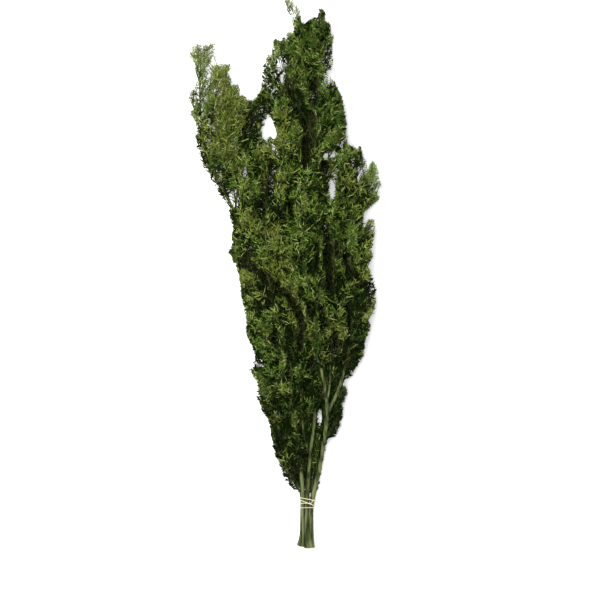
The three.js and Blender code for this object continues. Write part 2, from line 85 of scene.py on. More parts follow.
# Dark folds between the plumes: from x, y to x, y and the half width
FOLDS = [
    (1, 278, 21, 234, 6), (39, 278, 42, 249, 5), (36, 230, 35, 191, 6.5), (30, 191, 29, 165, 5.5),
    (-21, 156, -24, 112, 5), (-42, 243, -55, 200, 4), (56, 157, 61, 129, 4.5), (-33, 109, -36, 82, 4),
    (-52, 40, -56, 26, 3), (-60, 18, -24, -14, 5.5), (-24, -14, -2, -33, 5), (-2, -33, 20, -62, 5),
    (20, -62, 24, -84, 4.5), (24, -84, 20, -113, 3), (4, 100, 9, 81, 2.5), (57, 66, 61, 40, 4),
    (62, 40, 64, -20, 6.5), (45, 39, 43, 1, 2.5), (72, 42, 75, 21, 3), (88, 21, 93, -7, 4.5),
    (90, -52, 94, -94, 2.5), (50, -49, 53, -87, 2.5), (70, -87, 71, -114, 4.5),
    (-17, -85, -15, -107, 3.5), (8, -113, 4, -154, 3.5), (36, -128, 43, -154, 5),
    (31, -160, 9, -201, 3.5), (-17, -186, -5, -207, 4.5), (21, -201, 21, -233, 3.5),
    (52, -180, 53, -210, 3), (66, -160, 67, -190, 4.5), (68, -201, 66, -233, 4.5),
    (24, -268, 17, -303, 5), (5, -259, 9, -294, 3), (-8, -221, -7, -259, 3),
]
FOLD_FLOOR = 37  # as high as leaves may stand along its middle
FOLD_CORE = 0.3  # the flat part of the floor, over the half width
FOLD_SLOPE = 60  # how steeply its sides rise
RAGGED_SIZE = 6  # of the lumps that fold sides and openings are broken by
RAGGED_SHARE = 0.6  # how far the lumps reach, over the half width
FOLD_SHADE = 60  # leaves under a lower ceiling than this are painted in shade
# the share of those leaves that is painted in shade
FOLD_SHADE_SHARE = 0.7
FOLD_REACH = 9  # as SPACE_SHARE, for leaves in a fold, so that they close it

# The squares, of 1 mm each, in which the crown is looked up from above
MAP_X = (-160, 160)
MAP_Y = (-340, 420)
LOWEST = 0.5  # where leaves lie flat
SINK_DEPTH = 3  # kept between a twig and the leaves' ceiling over it
CROWN_SLACK = 2  # squares by which leaves may pass the outline

# Limbs: what each leaves and where along Y, its radii at foot and end, and the points on its way
LIMBS = {
    "right_stem": (None, (3.9, 1.5), [
        (37.6, -405.4, 11.8), (35.7, -375, 13.6), (36, -346, 15.6), (39, -328, 16.6), (47.4, -292, 22),
        (59.4, -205, 42), (55, -160, 54), (45, -120, 60), (42, -50, 64), (38, 60, 60), (36, 150, 46),
        (33, 225, 36),
    ]),
    "middle_stem": (None, (3.3, 1.4), [
        (29.8, -405.8, 10.6), (29.5, -346, 12.8), (30.6, -328, 14.6), (35, -262, 27), (41, -215, 36),
        (36, -140, 44), (24, -50, 48), (18, 40, 50), (20, 90, 52),
    ]),
    "left_stem": (None, (3.6, 1.4), [
        (22.4, -403.5, 11.2), (23.5, -346, 15.2), (23.4, -328, 16.4), (21, -285, 22), (14, -215, 34),
        (7, -140, 47), (-8, -98, 52), (-24, -20, 54), (-20, 50, 56), (-10, 95, 56),
    ]),
    "outer_stem": (None, (3.3, 1.3), [
        (18, -402.5, 3.9), (21.4, -390, 4.8), (22.9, -372, 5.8), (22.9, -334, 7.8), (20.4, -317, 9),
        (4, -268, 14), (-24, -150, 30), (-54, -15, 40), (-78, 92, 46), (-94, 123, 48), (-112, 156, 48),
        (-121, 190, 46), (-126, 240, 42),
    ]),
    "back_stem": (None, (3.4, 1.3), [
        (27.8, -404.5, 4), (29.3, -346, 6), (30.2, -328, 7), (29, -240, 14), (20, -100, 26),
        (10, 40, 32), (8, 170, 36), (16, 270, 38), (20, 325, 38),
    ]),
    "back_right_stem": (None, (3.2, 1.3), [
        (36.4, -403.5, 3.8), (35.7, -346, 7), (38, -328, 8), (50, -250, 14), (72, -130, 28),
        (88, -10, 34), (98, 70, 36), (104, 110, 36),
    ]),
    "right_bough": (("right_stem", -208), (2.5, 1.2), [
        (77, -168, 48), (88, -124, 52), (97, -72, 54), (95, -20, 55), (91, 60, 55),
    ]),
    "thin_bough": (("right_stem", -192), (1.7, 1.0), [(63.5, -160, 54), (65, -107, 58), (67, -55, 58)]),
    "middle_bough": (("middle_stem", -266), (2.0, 1.1), [
        (26, -243, 34), (24, -224, 40), (20, -170, 50), (12, -110, 60),
    ]),
    "low_left_bough": (("outer_stem", -322), (2.0, 1.1), [
        (3, -294, 10), (-9, -262, 16), (-20, -215, 22),
    ]),
    "outer_bough": (("outer_stem", 84), (1.8, 1.0), [(-72, 118, 50), (-64, 150, 50)]),
    "crown_left_bough": (("back_stem", 160), (1.8, 1.0), [(-4, 190, 40), (-15, 222, 44)]),
    "crown_right_bough": (("right_stem", 80), (1.8, 1.0), [(52, 108, 62), (60, 140, 58)]),
}

# Masses of foliage: name, tone, widest radius, the limb and place along Y where the mass's own stem
# leaves it, and the mass's tip. The last triple lifts the middle of the stem off the straight line.
MASSES = [
    ("crown_left_tip", "olive", 13, "back_stem", 300, (2, 402, 36)),
    ("crown_top", "deep", 31, "right_stem", 195, (28, 372, 50)),
    ("crown_right_tip", "green", 23, "right_stem", 175, (54, 386, 40), (9, 0, 0)),
    ("crown_left", "deep", 20, "back_stem", 258, (-9, 344, 36), (0, 0, -2)),
    ("crown_point", "green", 17, "back_stem", 238, (-25, 316, 50), (-4, 0, 8)),
    ("crown_shoulder", "green", 21, "crown_left_bough", 205, (-44, 256, 46), (8, 16, 4)),
    ("outer_tip", "olive", 19, "outer_stem", 215, (-124, 336, 38), (-6, 0, 4)),
    ("outer_second", "olive", 22, "outer_stem", 175, (-96, 308, 42)),
    ("outer_third", "brown", 25, "outer_stem", 135, (-76, 282, 56)),
    ("outer_inner", "green", 22, "outer_bough", 130, (-36, 258, 32), (-14, 2, -4)),
    ("outer_edge", "olive", 14, "outer_stem", 190, (-141, 262, 52)),
    ("outer_low", "green", 22, "outer_bough", 100, (-92, 216, 30)),
    ("right_upper", "green", 23, "crown_right_bough", 115, (74, 268, 48)),
    ("right_shoulder", "olive", 25, "right_bough", 35, (88, 190, 56)),
    ("right_spray", "green", 17, "back_right_stem", 84, (106, 190, 26), (0, 0, -4)),
    ("right_spur", "bright", 18, "back_right_stem", 100, (126, 162, 54), (2, 0, 6)),
    ("right_spur_low", "bright", 15, "back_right_stem", 70, (146, 128, 34), (-6, 6, 4)),
    ("right_side_small", "olive", 17, "right_bough", 0, (117, 84, 56)),
    ("right_side", "olive", 22, "right_bough", -70, (112, 40, 66)),
    ("right_low", "olive", 23, "right_bough", -124, (118, -26, 52)),
    ("right_lower", "green", 23, "back_right_stem", -200, (104, -90, 40), (6, 0, 0)),
    ("right_lowest", "deep", 18, "back_right_stem", -275, (78, -170, 34), (5, 0, 0)),
    ("right_inner", "olive", 22, "right_bough", -156, (76, -38, 76)),
    ("centre_crown", "deep", 31, "right_stem", 90, (50, 250, 72), (6, 0, 10)),
    ("centre_left", "brown", 30, "left_stem", 60, (2, 215, 66)),
    ("centre_high", "green", 30, "middle_stem", 55, (24, 190, 82), (0, 0, 10)),
    ("centre_front", "green", 34, "right_stem", -75, (30, 86, 92), (0, 0, 8)),
    ("centre_right", "green", 29, "thin_bough", -85, (72, 98, 80)),
    ("left_high", "green", 30, "outer_stem", 0, (-56, 144, 66), (0, 0, 8)),
    ("left_front", "olive", 31, "left_stem", -80, (-40, 66, 86), (0, 0, 8)),
    ("left_edge", "green", 24, "outer_stem", -85, (-66, 60, 30), (-8, 0, -4)),
    ("left_low", "bright", 25, "outer_stem", -150, (-54, -24, 54), (-8, 0, 8)),
    ("left_inner", "bright", 28, "left_stem", -165, (-19, -34, 80), (-4, 0, 8)),
    ("centre_low", "olive", 30, "middle_bough", -135, (8, 6, 90)),
    ("centre_lower", "bright", 22, "middle_bough", -205, (26, -72, 72)),
    ("left_lower", "green", 22, "low_left_bough", -220, (-42, -112, 36), (-6, 0, 0)),
    ("left_lowest", "dark", 21, "low_left_bough", -298, (-26, -182, 48), (-4, 0, 14)),
    ("low_front", "dark", 22, "left_stem", -285, (2, -150, 60)),
    ("back_low", "dark", 26, "back_stem", -225, (34, -80, 16)),
    ("back_left", "deep", 30, "outer_stem", -125, (-40, 10, 14)),
    ("back_right", "deep", 30, "back_right_stem", -105, (86, 50, 14)),
    ("back_centre", "deep", 34, "back_stem", -80, (22, 90, 14)),
    ("back_high", "deep", 32, "back_stem", 70, (30, 220, 18)),
    ("crown_inner", "green", 24, "back_stem", 170, (0, 292, 58)),
    ("left_middle", "deep", 24, "left_stem", 20, (-36, 160, 40)),
    ("back_crown", "deep", 28, "back_stem", 215, (34, 340, 14)),
]
STEM_BOW = (0, 0, 4)  # where a mass names none

FULLNESS = {  # branches and strands of a mass, as a share of the others'
    "crown_left_tip": 1.3, "crown_right_tip": 0.85, "outer_tip": 0.72, "outer_second": 0.72,
    "outer_edge": 1.8, "outer_third": 0.88, "right_spur": 0.78, "right_spray": 0.75,
    "right_spur_low": 0.95, "right_side_small": 0.85, "right_inner": 1.2, "left_inner": 1.25,
}

# Shape of a mass: a flame that widens soon after its stem and runs out to a point
SPACE_SAMPLES = 14
SPACE_SHARE = 2.5  # how far leaves may reach out of a mass's widest, over its radius squared
SPACE_MARGIN = 16  # mm2, keeps neighbouring masses apart
FOOT_SHARE = 0.6
WIDEST_AT = 0.4
TIP_SHARE = 0.4
STEM_RADII = (1.3, 0.5)
STEM_STEPS = 24
STEM_SIDES = 5
SPREAD_STEPS = (0.7549, 0.5698)  # steps along and round a stem that spread what grows on it evenly
SIDEWAYS = 0.3  # how strongly branches keep to the sides of a mass

# Side branches on a mass's stem
BRANCHES_PER_AREA = 1 / 75  # for each mm2 of a mass's length times radius
BRANCH_PLACES = (0.03, 0.97)
BRANCH_ANGLES = (1.05, 0.4)  # radians from the stem, at the mass's foot and tip
ANGLE_SPREAD = 0.2
BRANCH_REACH = 1.5  # over the mass's radius
BRANCH_LENGTHS = (0.8, 1.15)  # spread over the reach
BRANCH_BEND = 0.7  # how far a branch turns towards the way its mass runs
BRANCH_SWAY = 0.05
FEWEST_BRANCHES = 4
BRANCH_STEPS = 6
BRANCH_RADII = (0.75, 0.45)
TWIG_SIDES = 3

# Sprays on the side branches: flat fans of strands of scale leaves
SPRAY_LENGTH = 27
SPRAY_SIZES = (1.15, 1.0, 0.85, 0.7, 0.55, 0.4)  # the first whose tip keeps in the crown is taken
SPRAY_SIZE_SPREAD = (0.9, 1.05)
SPRAY_STEP = 4  # along a branch
SPRAY_START = 2  # from a branch's foot
SPRAY_ANGLE = 0.65  # radians from the branch
SPRAY_SPREAD = 0.12  # of its direction
SPRAY_TILT = 0.5  # how far its plane is from facing out of the mass
# How many sprays, their axes, branchlets on each, strand widths, and whether the rachis is a twig. The
# coarse ones lie deep in a mass and are wholly painted in shade.
FINE_SPRAYS = (24, 13, 2, (1.08, 0.84), True)
COARSE_SPRAYS = (8, 5, 1, (3.4, 2.8), False)
SHADED_STRANDS = 0.3  # share of a fine spray's strands in painted shade that are made
COARSE_FROM = 0.62  # the painted-shade part from which a spray is a coarse one
LEAF_SHARES = (2.6, 4.2)  # as SPACE_SHARE, for the strands of a spray
LEAF_MARGINS = (20, 150)  # as SPACE_MARGIN, so that dark gaps part the masses
RACHIS_RADII = (0.6, 0.4)
RACHIS_STEPS = 2
RACHIS_BEND = 0.16
GROWTH = (0.75, 1.25)  # spread of an axis's angle and of a branchlet's length
AXIS_START = 0.6  # of the first axis, in steps from one to the next
AXIS_LENGTH = 10.5
AXIS_LENGTHS = (0.75, 1.2)  # spread over that
AXIS_SWELL = (0.45, 1)  # share of its length at the spray's tip and where the spray is widest
AXIS_SWELL_START = 0.15
AXIS_ANGLES = (0.95, 0.4)  # radians from the rachis, at its foot and tip
AXIS_LIFT = 0.3  # out of the spray's plane
AXIS_WIDTH = 0.8  # over a branchlet's
AXIS_BENDS = (0.5, 0.4, 0.6)  # spreads across and along the spray, and out of its plane
AXIS_TURN = (0, 0.3, 0)  # and how far it turns towards the spray's tip
BRANCHLET_PLACES = (0.8, 0.6)  # steps before the first, and by how many steps exceed branchlets
BRANCHLET_ANGLES = (0.4, 0.95)  # radians from the axis
BRANCHLET_LIFT = 0.45
BRANCHLET_LENGTH = 7
BRANCHLET_TAPER = 0.45  # how much shorter the last one is
BRANCHLET_BEND = 0.6
BRANCHLET_TURN = (0, 0.2, 0)
STRAND_PLACES = np.array((0, 0.3, 0.68, 1))[:, None]
STRAND_TWIST = 0.6
STRAND_CURL = 0.1  # to one side and the other, over its length
STRAND_FACES = np.array([(0, 1, 2), (2, 1, 3), (2, 3, 4), (4, 3, 5)])
SHADED = (0.26, 1.05)  # how much of a spray, from its foot, is painted in shade, for one at a branch's end and one at its foot
SHADED_SPREAD = 0.12
THIN_MASSES = [  # which the light reaches through, so that less of them is painted in shade
    "outer_tip", "outer_second", "outer_third", "outer_edge", "crown_left_tip", "right_spur",
    "right_spur_low", "right_spray", "right_side_small",
]
THIN_SHADED = 0.35  # as a share of the others' part in painted shade

# Short side twigs on the limbs: the limb, and where along Y the first and last of them leave it
FRINGES = [
    ("right_stem", -320, 220), ("middle_stem", -320, 88), ("left_stem", -335, 92),
    ("outer_stem", -340, 90), ("back_stem", -340, 310), ("back_right_stem", -340, 108),
    ("right_bough", -195, 55), ("thin_bough", -180, -58), ("middle_bough", -250, -112),
    ("low_left_bough", -318, -218), ("crown_right_bough", 84, 134), ("back_stem", -300, -180),
    ("back_right_stem", -310, -190), ("outer_stem", -305, -190), ("right_stem", -60, 110),
    ("right_stem", -40, 100), ("right_stem", 120, 215), ("back_right_stem", -60, 100),
    ("left_stem", -20, 92), ("back_stem", 60, 180), ("middle_stem", -150, -20), ("right_stem", 30, 90),
]
LIT_FRINGES = [  # on limbs that the light reaches, in a lit tone instead of the painted shade of the others
    ("outer_stem", 90, 225), ("crown_left_bough", 163, 216), ("outer_bough", 88, 146),
]
FRINGE_STEP = 6
FRINGE_REACH = (12, 30)
FRINGE_ANGLE = 0.8  # radians from the limb
FRINGE_PLACES = (0, 0.35, 0.7, 1)  # of its path's points
FRINGE_STIFFNESS = 3  # the less, the more it turns towards the limb's way
# mostly painted shade, on fringe twigs inside the crown
FRINGE_TONE = "inner"
LIT_FRINGE_TONE = "green"

# Tones of the foliage: base colour, and the tones that a mass's sprays are dealt from
TONES = {
    # painted shade: a near-black colour for the inner strands of sprays, coarse sprays, leaves in folds and
    # inner fringe twigs
    "shade": (0.004, 0.010, 0.001),
    "deep": (0.034, 0.068, 0.009),
    "green": (0.060, 0.108, 0.012),
    "bright": (0.085, 0.155, 0.021),
    "olive": (0.108, 0.150, 0.018),
    "brown": (0.090, 0.088, 0.014),
    # partly the strands' own paler tint, partly a painted highlight; only strands outside the painted shade
    # take it
    "pale": (0.198, 0.228, 0.068),
}
TONE_MIX = {
    # mostly painted shade, for fringe twigs inside the crown
    "inner": {"shade": 0.55, "deep": 0.35, "green": 0.1},
    "dark": {"shade": 0.14, "deep": 0.48, "green": 0.3, "olive": 0.08},
    "deep": {"deep": 0.5, "green": 0.36, "olive": 0.09, "brown": 0.05},
    "green": {"deep": 0.16, "green": 0.5, "olive": 0.22, "bright": 0.12},
    "bright": {"green": 0.35, "bright": 0.55, "olive": 0.1},
    "olive": {"deep": 0.06, "green": 0.27, "olive": 0.6, "brown": 0.07},
    "brown": {"deep": 0.22, "green": 0.15, "olive": 0.28, "brown": 0.35},
}
TONE_SLOTS = {"twigs": "bark", "shade": "foliage_deep", "pale": "foliage_olive"}  # else after the tone
# shares of each tone's lit strands that take the pale tone, partly a painted highlight
PALE_SHARES = {"shade": 0.04, "deep": 0.14, "green": 0.24, "bright": 0.28, "olive": 0.36, "brown": 0.2}
MOST_TRIANGLES = 199000  # in one piece of foliage

# Stretches along Y where a limb lies open in front of the foliage, as seen from above, and the width
# that is kept clear on each side of it
OPEN_LIMBS = [
    ("right_stem", -345, -135, 1.0), ("right_stem", -135, -60, -1.0), ("middle_stem", -345, -205, 1.5),
    ("left_stem", -345, -300, 1.5), ("left_stem", -300, -286, -1), ("left_stem", -286, -270, -2.5),
    ("left_stem", -150, -90, -1.2), ("right_bough", -208, -140, 0.5), ("right_bough", -140, -90, -0.8),
    ("thin_bough", -192, -100, 0), ("middle_bough", -266, -215, 1.0),
    ("low_left_bough", -322, -255, -0.8),
]
COVER_WIDTH = 3  # on each side of any other limb that crosses a fold, leaves may still stand,
COVER_HEIGHT = 10  # this high over its middle
LIMB_SAMPLES = 200
LENGTH_SAMPLES = 50  # along a mass's stem
HALVINGS = 30  # when a place on a curve is looked for
STEEP = 0.9  # the rise of a tube from which its sides are told by X, as they can't be by Z

# Bark
BARK_SIDES = 14
BARK_STEP = 2.8  # along a limb
BARK_RIDGES = [(3, 0.04, 0.021), (5, 0.03, 0.033), (8, 0.025, 0.052)]  # how many, height, drift per mm
RIDGE_SWAY = 1.5  # radians
SCAR_STEP = 11  # between the scars of fallen side twigs
SCAR_SPREAD = 0.35  # over the step
SCAR_TURN = 2.4  # radians from one to the next
SCAR_TURN_SPREAD = 0.5
SCAR_HEIGHT = 0.5
SCAR_HEIGHTS = (0.5, 1.2)  # spread over that
SCAR_LENGTH = 2.4
SCAR_WIDTH = 0.5  # radians
CUT_SLANT = 0.4  # how far the top of a cut is set back, over the radius
CUT_FLARE = 0.18  # how much wider it is
CUT_FLARE_LENGTH = 6

# The tie: a thin cord of two strands, wound round the stems, with its last two passes over the first
TIE_PASSES = (-345.4, -345, -339.4, -334.6, -333.4, -342.4, -330.2, -334.8)  # Y at the left and right
TIE_TAIL = 0.2  # turns before the first of them and after the last
TIE_RADIUS = 0.38
TIE_SLACK = 0.3
TIE_CLEARANCE = 0.2
TIE_FITS = 4  # rounds in which the passes are fitted to the way the cord takes over the stems
TIE_STEPS_PER_TURN = 110
TIE_SIDES = 12
TIE_CROSSOVER = (1.87, 2.0)  # turns at which it climbs onto itself
TIE_TWIST = 1.7  # radians per mm
TIE_GROOVE = 0.22  # between the strands, over the radius
TIE_MEAN = 0.6  # about the mean of the strands' wave, so that the cord keeps its radius

# Surfaces that follow one noise: roughness, specular level, the noise's scale and detail, colours at
# places on it, and for a bump its strength and its height in metres
SURFACES = {
    "cut_wood": (0.8, 0.2, 900, 4, [(0.3, (0.42, 0.33, 0.17)), (0.7, (0.60, 0.52, 0.30))]),
    "twigs": (0.8, 0.08, 260, 4, [(0.3, (0.016, 0.022, 0.006)), (0.7, (0.046, 0.052, 0.014))]),
    "tie": (0.85, 0.2, 1500, 4, [(0.3, (0.55, 0.50, 0.26)), (0.7, (0.86, 0.82, 0.52))], (0.4, 0.0002)),
}
LEAF_SURFACE = (0.75, 0.03, 420, 2)
LEAF_SHADES = [(0.35, 0.7), (0.65, 1.3)]  # places on the noise, and shares of the tone's colour there
LEAF_BUMP = (0.3, 0.0003)

# Bark is green with dark streaks, and turns brown in patches
BARK_SURFACE = (0.75, 0.15)
BARK_STREAKS = (260, (1, 0.1, 1), 6)  # a noise's scale, stretch and detail
BARK_PATCHES = (55, (1, 0.5, 1), 3)
BARK_GREEN = [(0.39, (0.010, 0.015, 0.004)), (0.5, (0.048, 0.066, 0.019)), (0.61, (0.100, 0.124, 0.042))]
BARK_BROWN = [(0.38, (0.014, 0.013, 0.006)), (0.6, (0.075, 0.066, 0.032))]
BARK_BROWN_SHARE = [(0.5, (0, 0, 0)), (0.66, (0.8, 0.8, 0.8))]
BARK_BUMP = (0.7, 0.0008)

# Camera, floor and light, in metres
CAMERA_AIM = (0.0197, -0.0402, 0.06)
CAMERA_HEIGHT = 6.2
CAMERA_LENS = 255
FLOOR_SIZE = 8
FLOOR_SURFACE = (0.9, 0.1)
FLOOR_COLOUR = (0.9, 0.9, 0.9, 1)
FLOOR_GLOW = 0.4  # as of a light table
WHITE = (1, 1, 1, 1)
ROOM_GLOW = 0.3
KEY_PLACE = (-0.4, 0.2, 1.9)
KEY_SIZE = 1.2
KEY_POWER = 97


def lerp(ends, share):
    return ends[0] + (ends[1] - ends[0]) * share


def unit(vectors):
    return vectors / np.linalg.norm(vectors, axis=-1, keepdims=True)


def step_lengths(path):
    return np.linalg.norm(np.diff(path, axis=0), axis=1)


def run_along(steps):
    """How far each point of a path is from its start, from the steps between them."""
    return np.concatenate([[0], np.cumsum(steps)])


def catmull(points, places):
    """A centripetal Catmull-Rom curve through points, at places from 0 to 1."""
    points = np.asarray(points, float)
    ends = np.vstack([2 * points[0] - points[1], points, 2 * points[-1] - points[-2]])
    reach = np.clip(np.atleast_1d(places), 0, 1) * (len(points) - 1)
    start = np.minimum(reach.astype(int), len(points) - 2)
    w = (reach - start)[:, None]
    p0, p1, p2, p3 = (ends[start + k] for k in range(4))
    d0, d1, d2 = (np.sqrt(np.linalg.norm(gap, axis=1))[:, None] for gap in (p1 - p0, p2 - p1, p3 - p2))
    v1 = ((p1 - p0) / d0 - (p2 - p0) / (d0 + d1) + (p2 - p1) / d1) * d1
    v2 = ((p2 - p1) / d1 - (p3 - p1) / (d1 + d2) + (p3 - p2) / d2) * d1
    return p1 + v1 * w + (3 * (p2 - p1) - 2 * v1 - v2) * w**2 + (2 * (p1 - p2) + v1 + v2) * w**3


def bezier(ends, places):
    """A quadratic curve from ends[0] to ends[2], at places from 0 to 1."""
    t = np.atleast_1d(places)[:, None]
    return (1 - t) ** 2 * ends[0] + 2 * t * (1 - t) * ends[1] + t**2 * ends[2]


def tangents(curve, places):
    step = 1e-3
    places = np.atleast_1d(places)
    return unit(curve(np.minimum(places + step, 1)) - curve(np.maximum(places - step, 0)))


def across_of(tangent):
    """Two directions square to each tangent, the first of them level."""
    side = unit(np.cross((0.0, 0.0, 1.0), tangent))
    return side, np.cross(tangent, side)


def place_at_y(curve, y):
    """The place from 0 to 1 at which a curve that runs up Y reaches y."""
    low, high = 0.0, 1.0
    for _ in range(HALVINGS):
        middle = (low + high) / 2
        if curve(middle)[0, 1] < y:
            low = middle
        else:
            high = middle
    return (low + high) / 2


class Limb:
    """A limb's curve and radii, and where it lies at each place along Y."""

    def __init__(self, name, start, radii, through):
        points = list(through)
        if start:
            points.insert(0, tuple(limbs[start[0]].at_y(start[1])))
        self.name = name
        self.has_cut = start is None
        self.radii = radii
        self.curve = lambda places: catmull(points, places)
        self.places = np.linspace(0, 1, LIMB_SAMPLES)
        self.path = self.curve(self.places)
        self.length = step_lengths(self.path).sum()

    def at_y(self, y):
        return self.curve(place_at_y(self.curve, y))[0]

    def section(self, y):
        """The middle and radius of the limb's section at places y, and whether it reaches them."""
        path_x, path_y, path_z = self.path.T
        x, z, place = (np.interp(y, path_y, values) for values in (path_x, path_z, self.places))
        return x, z, lerp(self.radii, place), (y > path_y[0]) & (y < path_y[-1])


limbs = {}
for limb_name, limb_row in LIMBS.items():
    limbs[limb_name] = Limb(limb_name, *limb_row)


def flame(t):
    """How wide a mass is along its stem, as a share of its widest."""
    rise = FOOT_SHARE + (1 - FOOT_SHARE) * np.sin(math.pi / 2 * np.minimum(t / WIDEST_AT, 1))
    fall = 1 - (1 - TIP_SHARE) * (np.maximum(t - WIDEST_AT, 0) / (1 - WIDEST_AT)) ** 2
    return np.where(t < WIDEST_AT, rise, fall)


class Mass:
    """A mass's own stem, and the spheres along it that make up its space."""

    def __init__(self, index, name, tone, radius, limb, y, tip, bow=STEM_BOW):
        foot = limbs[limb].at_y(y)
        tip = np.array(tip, float)
        ends = (foot, (foot + tip) / 2 + bow, tip)
        self.index = index
        self.name = name
        self.tone = tone
        self.radius = radius
        self.fullness = FULLNESS.get(name, 1)
        # masses that the light reaches through take less painted shade
        self.light = THIN_SHADED if name in THIN_MASSES else 1
        self.curve = lambda places: bezier(ends, places)
        samples = (np.arange(SPACE_SAMPLES) + 0.5) / SPACE_SAMPLES
        self.centres = self.curve(samples)
        self.radii = radius * flame(samples)
        self.length = step_lengths(self.curve(np.linspace(0, 1, LENGTH_SAMPLES))).sum()


masses = [Mass(index, *row) for index, row in enumerate(MASSES)]
space_centres = np.vstack([m.centres for m in masses])
space_rest = (space_centres**2).sum(1) - np.concatenate([m.radii**2 for m in masses])


def wobble(size):
    """Smooth random values from -1 to 1 over the map's squares, in lumps of a size."""
    spans = (MAP_X, MAP_Y)
    field = np.random.default_rng(SEED).uniform(-1, 1, [(high - low) // size + 2 for low, high in spans])
    for axis, (low, high) in enumerate(spans):
        place = np.arange(high - low) / size
        before = place.astype(int)
        share = (3 - 2 * (place - before)) * (place - before) ** 2
        share = share.reshape((-1, 1) if axis == 0 else (1, -1))
        field = lerp((np.take(field, before, axis), np.take(field, before + 1, axis)), share)
    return field


def is_within(outline, x, y):
    """Whether places lie inside a closed outline."""
    within = np.zeros(x.shape, bool)
    for (x0, y0), (x1, y1) in zip(outline, outline[1:] + outline[:1]):
        if y0 != y1:
            within ^= ((y0 > y) != (y1 > y)) & (x < x0 + (x1 - x0) * (y - y0) / (y1 - y0))
    return within


def crown_maps():
    """How high leaves may stand in each small square of the crown seen from above, 0 outside it, and
    the squares that twigs may cross."""
    x, y = np.meshgrid(np.arange(*MAP_X), np.arange(*MAP_Y), indexing="ij")
    inside = is_within(CROWN, x, y)
    for _ in range(CROWN_SLACK):
        neighbours = [np.roll(inside, step, axis) for step in (1, -1) for axis in (0, 1)]
        inside = np.logical_or.reduce([inside, *neighbours])
    for hole in HOLES:
        inside &= ~is_within(hole, x, y)
    ceiling = np.where(inside, TOP_Z, 0.0)
    ragged = RAGGED_SHARE * wobble(RAGGED_SIZE)
    for x0, y0, x1, y1, half_width in FOLDS:
        run_x, run_y = x1 - x0, y1 - y0
        share = np.clip(((x - x0) * run_x + (y - y0) * run_y) / (run_x**2 + run_y**2), 0, 1)
        away = np.hypot(x - x0 - share * run_x, y - y0 - share * run_y) / half_width + ragged
        ceiling = np.minimum(ceiling, FOLD_FLOOR + FOLD_SLOPE * np.maximum(away - FOLD_CORE, 0) ** 2)
    for limb in limbs.values():
        limb_x, limb_z, radius, reaches = limb.section(y)
        over = inside & reaches & (np.abs(x - limb_x) < radius + COVER_WIDTH)
        ceiling[over] = np.maximum(ceiling, limb_z + COVER_HEIGHT)[over]
    for name, low, high, margin in OPEN_LIMBS:
        limb_x, limb_z, radius, reaches = limbs[name].section(y)
        over = reaches & (y > low) & (y < high) & (np.abs(x - limb_x) < radius + margin)
        ceiling[over] = np.minimum(ceiling, limb_z)[over]
    ceiling[~inside] = 0
    for middle_x, middle_y, width, height in OPENINGS:
        away = np.hypot((x - middle_x) / width, (y - middle_y) / height)
        ceiling[away + ragged * RAGGED_SIZE / height < 1] = 0
    return ceiling, inside


def looked_up(squares, points):
    """What a map of the crown says at points, and 0 where they are off it."""
    i, j = (points[:, :2] - (MAP_X[0], MAP_Y[0])).round().astype(int).T
    on_map = (i >= 0) & (i < squares.shape[0]) & (j >= 0) & (j < squares.shape[1])
    return on_map * squares[i * on_map, j * on_map]


def in_crown(points):
    return looked_up(crown_map, points) & (points[:, 2] > 0) & (points[:, 2] < TOP_Z)


def is_free(points):
    """Whether leaves may stand at points: in the crown, not high in a fold, nor over a limb that shows."""
    return (points[:, 2] > 0) & (points[:, 2] < looked_up(ceiling_map, points))


ceiling_map, crown_map = crown_maps()


def is_own(mass, points, share=SPACE_SHARE, margin=SPACE_MARGIN):
    """Whether points are deeper in a mass's space than in any other's."""
    square = (points**2).sum(1)[:, None] - 2 * points @ space_centres.T + space_rest
    outside = square.reshape(len(points), len(masses), SPACE_SAMPLES).min(-1)
    own = outside[:, mass.index].copy()
    outside[:, mass.index] = np.inf
    return (outside.min(1) > own + margin) & (own <= share * mass.radius**2)


def ring_turns(sides):
    """The angles of a ring's points, in one row."""
    return 2 * math.pi * np.arange(sides)[None, :] / sides


def spokes(turn, side, up):
    """Directions at angles round each place of a path, from its side towards its up."""
    return np.cos(turn)[..., None] * side[:, None] + np.sin(turn)[..., None] * up[:, None]


def wall_faces(count, sides):
    """Triangles between rings of points, one after another."""
    start = np.arange(count - 1)[:, None] * sides
    a, b = ((start + (np.arange(sides) + k) % sides).ravel() for k in (0, 1))
    return np.vstack([np.stack([a, b, b + sides], 1), np.stack([a, b + sides, a + sides], 1)])


def fan_faces(ring, sides, middle):
    """Triangles from a ring to a point."""
    a, b = (ring * sides + (np.arange(sides) + k) % sides for k in (0, 1))
    return np.stack([a, b, np.full(sides, middle)], 1)


def tube(path, radii, sides):
    """Vertices and triangles of a round tube, open at its foot and pointed at its end."""
    path = np.asarray(path, float)
    tangent = unit(np.gradient(path, axis=0))
    guide = np.array((0.0, 0.0, 1.0)) if abs(tangent[0, 2]) < STEEP else np.array((1.0, 0.0, 0.0))
    side = unit(np.cross(guide, tangent))
    rings = path[:, None] + spokes(ring_turns(sides), side, np.cross(tangent, side)) * radii[:, None, None]
    count = len(path) - 1
    vertices = np.vstack([rings[:count].reshape(-1, 3), path[-1:]])
    return vertices, np.vstack([wall_faces(count, sides), fan_faces(count - 1, sides, count * sides)])


def strand(path, widths, turn):
    """A flat strand over four points, pointed at both ends, turned out of the spray's plane."""
    width = lerp(widths, min(1, max(0, path[0][1] / SPRAY_LENGTH)))
    first, last = unit(np.cross((math.sin(turn), 0, math.cos(turn)), path[2:] - path[:2])) * width / 2
    edges = [path[0], path[1] + first, path[1] - first, path[2] + last, path[2] - last, path[3]]
    return np.array(edges), STRAND_FACES


